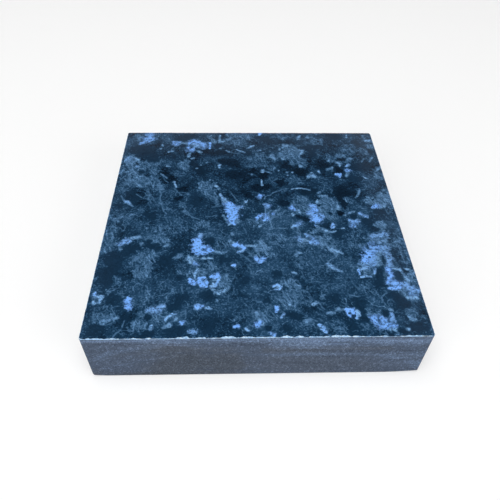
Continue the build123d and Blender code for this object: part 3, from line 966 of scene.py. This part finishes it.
def polished_face():
    """Dark blue ground with grey-blue mists of fine hairs, pale blue flakes, dark pools and loose threads."""
    shader = Shader("polished_face")
    place = shader.place()
    bent = shader.warp(place, 2.4, 0.6)
    swirl = shader.warp(place, 5.0, 0.6)
    cloud = shader.noise(bent, 8.0, 4, 0.55)
    torn = shader.noise(bent, 1.5, 4, 0.65)
    grit = shader.noise(place, 0.55, 2, 0.6)
    hair = 0.0
    for angle, length, strength in HAIRS:
        hair = shader.math("MAXIMUM", hair, shader.times(shader.hairs(swirl, angle, length), strength))
    strewn = shader.in_patches(hair, place, 5.0, 0.0, 0.35)
    curls = shader.in_patches(shader.threads(bent, 2.2, 0.13), place, 4.0, 0.0, 0.25)
    veins = shader.in_patches(shader.threads(swirl, 6.5, 0.06), place, 7.0, -0.1, 0.2)
    specks = shader.step(shader.add(shader.noise(place, 0.62, 1, 0.5), (cloud, 0.15)), 0.36, 0.46)
    cells = shader.cells(shader.warp(place, 1.6, 0.7), 3.6)

    # Ground: angular cells under soft clouds, with threads, specks and strewn hairs
    tone = shader.add(GROUND_TONE, shader.attribute("shade"), (cloud, 0.10), (torn, 0.045), (cells, 0.06),
                      (grit, 0.05), (veins, 0.20), (curls, 0.07), (specks, 0.15), (strewn, 0.09))

    # Dark pools
    pool_edge = shader.add(shader.attribute("near_pool"), (torn, 0.70), (cells, 0.25))
    pool = shader.step(pool_edge, 0.15, 0.55, 0.0, 0.9)
    pool_tone = shader.add(shader.attribute("pool_tone"), (grit, 0.02), (torn, 0.03))
    tone = shader.blend(pool, tone, pool_tone)

    # Mists: crossing hairs and curls over a paler ground, thinning out at the edges
    mist_edge = shader.add(shader.attribute("near_mist"), (cloud, 0.45), (torn, 0.45), (hair, 0.10))
    mist = shader.step(mist_edge, 0.10, 0.62)
    mist_tone = shader.add(shader.attribute("mist_tone"), MIST_FALL, (hair, 0.22), (torn, 0.15), (grit, 0.12),
                           (curls, 0.06), (specks, 0.12))
    tone = shader.blend(mist, tone, mist_tone)

    # Hairlines, stronger and weaker along their way
    on_line = shader.fall(shader.math("ABSOLUTE", shader.attribute("line_side")), 0.16, 0.34)
    on_line = shader.times(on_line, shader.fall(shader.attribute("line_gap"), 0.35, 0.60))
    on_line = shader.times(on_line, shader.step(shader.noise(place, 0.9, 2, 0.6), -0.40, 0.15, 0.35, 1.0))
    tone = shader.blend(on_line, tone, shader.attribute("line_tone"))

    # Flakes: torn outlines with a thin halo, bright cores and a few pits. Narrow ones are less torn.
    near_flake = shader.attribute("near_flake")
    broad = shader.step(shader.attribute("flake_width"), 0.2, 1.1, 0.3, 1.0)
    flake_edge = shader.add(near_flake, (broad, shader.add((torn, 0.55), (grit, 0.18))))
    tone = shader.add(tone, shader.step(flake_edge, -0.1, 0.4, 0.0, 0.05))
    flake = shader.step(flake_edge, 0.21, 0.54)
    core = shader.step(shader.add(near_flake, (torn, 0.5)), 0.30, 0.95, 0.70, 1.18)
    pits = shader.step(shader.noise(place, 0.80, 2, 0.6), 0.24, 0.36)
    flake_tone = shader.add((shader.attribute("flake_tone"), core), (grit, 0.10), (torn, 0.12),
                            shader.step(broad, 0.3, 1.0, 0.18, 0.0))
    flake_tone = shader.blend(shader.times(pits, 0.65), flake_tone, PIT_TONE)
    tone = shader.blend(flake, tone, flake_tone)

    # Small pools cut through mists and flakes
    small = shader.fall(shader.attribute("pool_width"), 0.90, 1.10)
    tone = shader.blend(shader.times(pool, small), tone, pool_tone)

    blueness = shader.times(flake, shader.step(shader.attribute("flake_tone"), 0.52, 0.76))
    colour = shader.mix(blueness, shader.ramp(tone, GROUND_COLOURS), shader.ramp(tone, FLAKE_COLOURS))
    shader.set(Base_Color=colour, Roughness=shader.add(0.09, (grit, 0.03)), Specular_IOR_Level=0.25)
    shader.bump(shader.add(grit, pits), 0.002)
    return shader.material


CHIP_COLOURS = [(0.0, (104, 146, 196)), (0.5, (154, 194, 232)), (1.0, (208, 232, 250))]


def chipped_edge():
    """Fresh pale stone where the saw broke the edge of the face."""
    shader = Shader("chipped_edge")
    place = shader.place()
    grain = shader.noise(place, 0.35, 3, 0.6)
    patch = shader.noise(place, 1.5, 3, 0.6)
    colour = shader.ramp(shader.add(0.6, (grain, 0.5), (patch, 0.4)), CHIP_COLOURS)
    shader.set(Base_Color=colour, Roughness=0.75, Specular_IOR_Level=0.3)
    shader.bump(grain, 0.05)
    return shader.material


# The sawn stone from grey to its warmer patches and painted shade, and its pale bands and painted sheen
SAWN_COLOURS = [(0.0, (82, 95, 115)), (0.45, (81, 90, 104)), (0.9, (71, 79, 90))]
BAND_AND_SHEEN_COLOUR = (108, 129, 159)


def sawn_stone(name):
    """Speckled grey stone with faint bands along it, and painted sheen that makes it bluish and paler near
    the face. Painted shade darkens part of its foot.
    """
    shader = Shader(name)
    place = shader.place()
    strata = shader.noise(shader.place((0.05, 0.05, 0.8)), 1.0, 4, 0.6)
    patch = shader.noise(place, 9.0, 3, 0.5)
    speckle = shader.noise(place, 0.42, 2, 0.6)
    grain = shader.noise(place, 1.0, 3, 0.6)
    specks = shader.step(shader.noise(place, 0.62, 1, 0.5), 0.32, 0.48, 0.0, 0.60)
    waver = shader.add((strata, 0.5), (patch, 0.5), (grain, 0.25))
    # Pale bands, and the painted sheen along the top of the side
    band_or_sheen = shader.step(shader.add(shader.attribute("near_band_or_top_sheen"), waver), -0.1, 1.3, 0.0, 0.9)
    band_or_sheen = shader.times(band_or_sheen, shader.attribute("band_or_top_sheen_strength"))
    # Warmer patches, and the painted shade along the foot
    warm_or_foot_shade = shader.step(shader.add(shader.attribute("near_warm_or_foot_shade"), waver), -0.1, 1.1, 0.0, 0.9)
    warm_or_foot_shade = shader.times(warm_or_foot_shade, shader.attribute("warm_or_foot_shade_strength"))
    grey = shader.mix(band_or_sheen, shader.ramp(warm_or_foot_shade, SAWN_COLOURS), linear(*BAND_AND_SHEEN_COLOUR))
    light = shader.add(1.04, (speckle, 0.50), (grain, 0.20), (strata, 0.22), specks)
    colour = shader.node("ShaderNodeVectorMath", {0: grey, "Scale": light}, operation="SCALE")
    shader.set(Base_Color=colour.outputs["Vector"], Roughness=0.85, Specular_IOR_Level=0.1)
    shader.bump(shader.add(speckle, strata), 0.03)
    return shader.material


def add_object(name, data):
    made = bpy.data.objects.new(name, data)
    bpy.context.scene.collection.objects.link(made)
    return made


def make_tile():
    builder = tile_mesh()
    places = np.array(builder.places)
    mesh = bpy.data.meshes.new("stone_tile")
    mesh.from_pydata(places * MM, [], builder.faces)
    mesh.polygons.foreach_set("material_index", builder.groups)
    mesh.update()
    lay_out_pattern(mesh, places)
    unwrap(mesh, builder.groups)
    for material in (polished_face(), chipped_edge(), sawn_stone("sawn_side"), sawn_stone("bed_face")):
        mesh.materials.append(material)
    tile = add_object("stone_tile", mesh)
    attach(tile, "root")
    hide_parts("tile")


# Studio, in metres
FLOOR_SIZE = 6.0
FLOOR_COLOUR = (212, 212, 212)
FLOOR_GLOW = 0.35       # added for the camera, so that the pale floor shows as white
WORLD_LEVEL = 0.06
WHITE = (1, 1, 1, 1)


def make_floor():
    """A plain pale floor that keeps the tile's shadow."""
    mesh = bpy.data.meshes.new("floor")
    half = FLOOR_SIZE / 2
    corners = [(-half, -half, 0), (half, -half, 0), (half, half, 0), (-half, half, 0)]
    mesh.from_pydata(corners, [], [(0, 1, 2, 3)])
    shader = Shader("pale_floor")
    rays = shader.node("ShaderNodeLightPath")
    seen = shader.math("MAXIMUM", rays.outputs["Is Camera Ray"], rays.outputs["Is Glossy Ray"])
    seen = shader.math("MAXIMUM", seen, rays.outputs["Is Transmission Ray"])
    shader.set(Base_Color=linear(*FLOOR_COLOUR), Roughness=0.9, Specular_IOR_Level=0.0)
    shader.set(Emission_Color=WHITE, Emission_Strength=shader.times(seen, FLOOR_GLOW))
    mesh.materials.append(shader.material)
    floor = add_object("floor", mesh)


def make_lamp(name, place, width, height, power, aim=(0, 0, 0), mirrored=True):
    """A soft box that faces the middle of the tile, or the place aimed at. One that isn't mirrored gives no
    image of itself in polished stone."""
    lamp = bpy.data.lights.new(name, "AREA")
    lamp.shape = "RECTANGLE"
    lamp.size = width
    lamp.size_y = height
    lamp.energy = power
    box = add_object(name, lamp)
    box.location = place
    box.visible_glossy = mirrored
    box.rotation_euler = (Vector(aim) - Vector(place)).to_track_quat("-Z", "Y").to_euler()


def make_world():
    world = bpy.data.worlds.new("studio")
    world.use_nodes = True
    sky = world.node_tree.nodes["Background"]
    sky.inputs["Color"].default_value = WHITE
    sky.inputs["Strength"].default_value = WORLD_LEVEL
    bpy.context.scene.world = world


def make_camera():
    lens = bpy.data.cameras.new("camera")
    lens.sensor_width = CAMERA_SENSOR
    lens.lens = CAMERA_LENS
    lens.clip_start = CAMERA_NEAREST
    camera = add_object("camera", lens)
    camera.location = Vector(CAMERA_PLACE) * MM
    camera.rotation_euler = [math.radians(turn) for turn in CAMERA_TURN]
    bpy.context.scene.camera = camera


make_tile()
make_floor()
make_lamp("overhead", (-0.10, -0.20, 1.0), width=0.9, height=0.9, power=9.0, mirrored=False)
make_lamp("front_left", (-0.8, -0.9, 0.6), width=0.8, height=0.8, power=5.0)
make_lamp("front_right", (0.9, -0.8, 0.6), width=0.8, height=0.8, power=5.0)
make_lamp("back", (0.0, 1.4, 0.53), width=2.4, height=0.8, power=2.1)
make_lamp("right_strip", (0.31, 0.52, 0.5), width=0.15, height=0.75, power=0.11, aim=(0.31, 0.52, 0))
make_lamp("left_strip", (-0.27, 0.52, 0.5), width=0.15, height=0.75, power=0.04, aim=(-0.27, 0.52, 0))
make_world()
make_camera()
bpy.context.scene.view_settings.view_transform = "Standard"
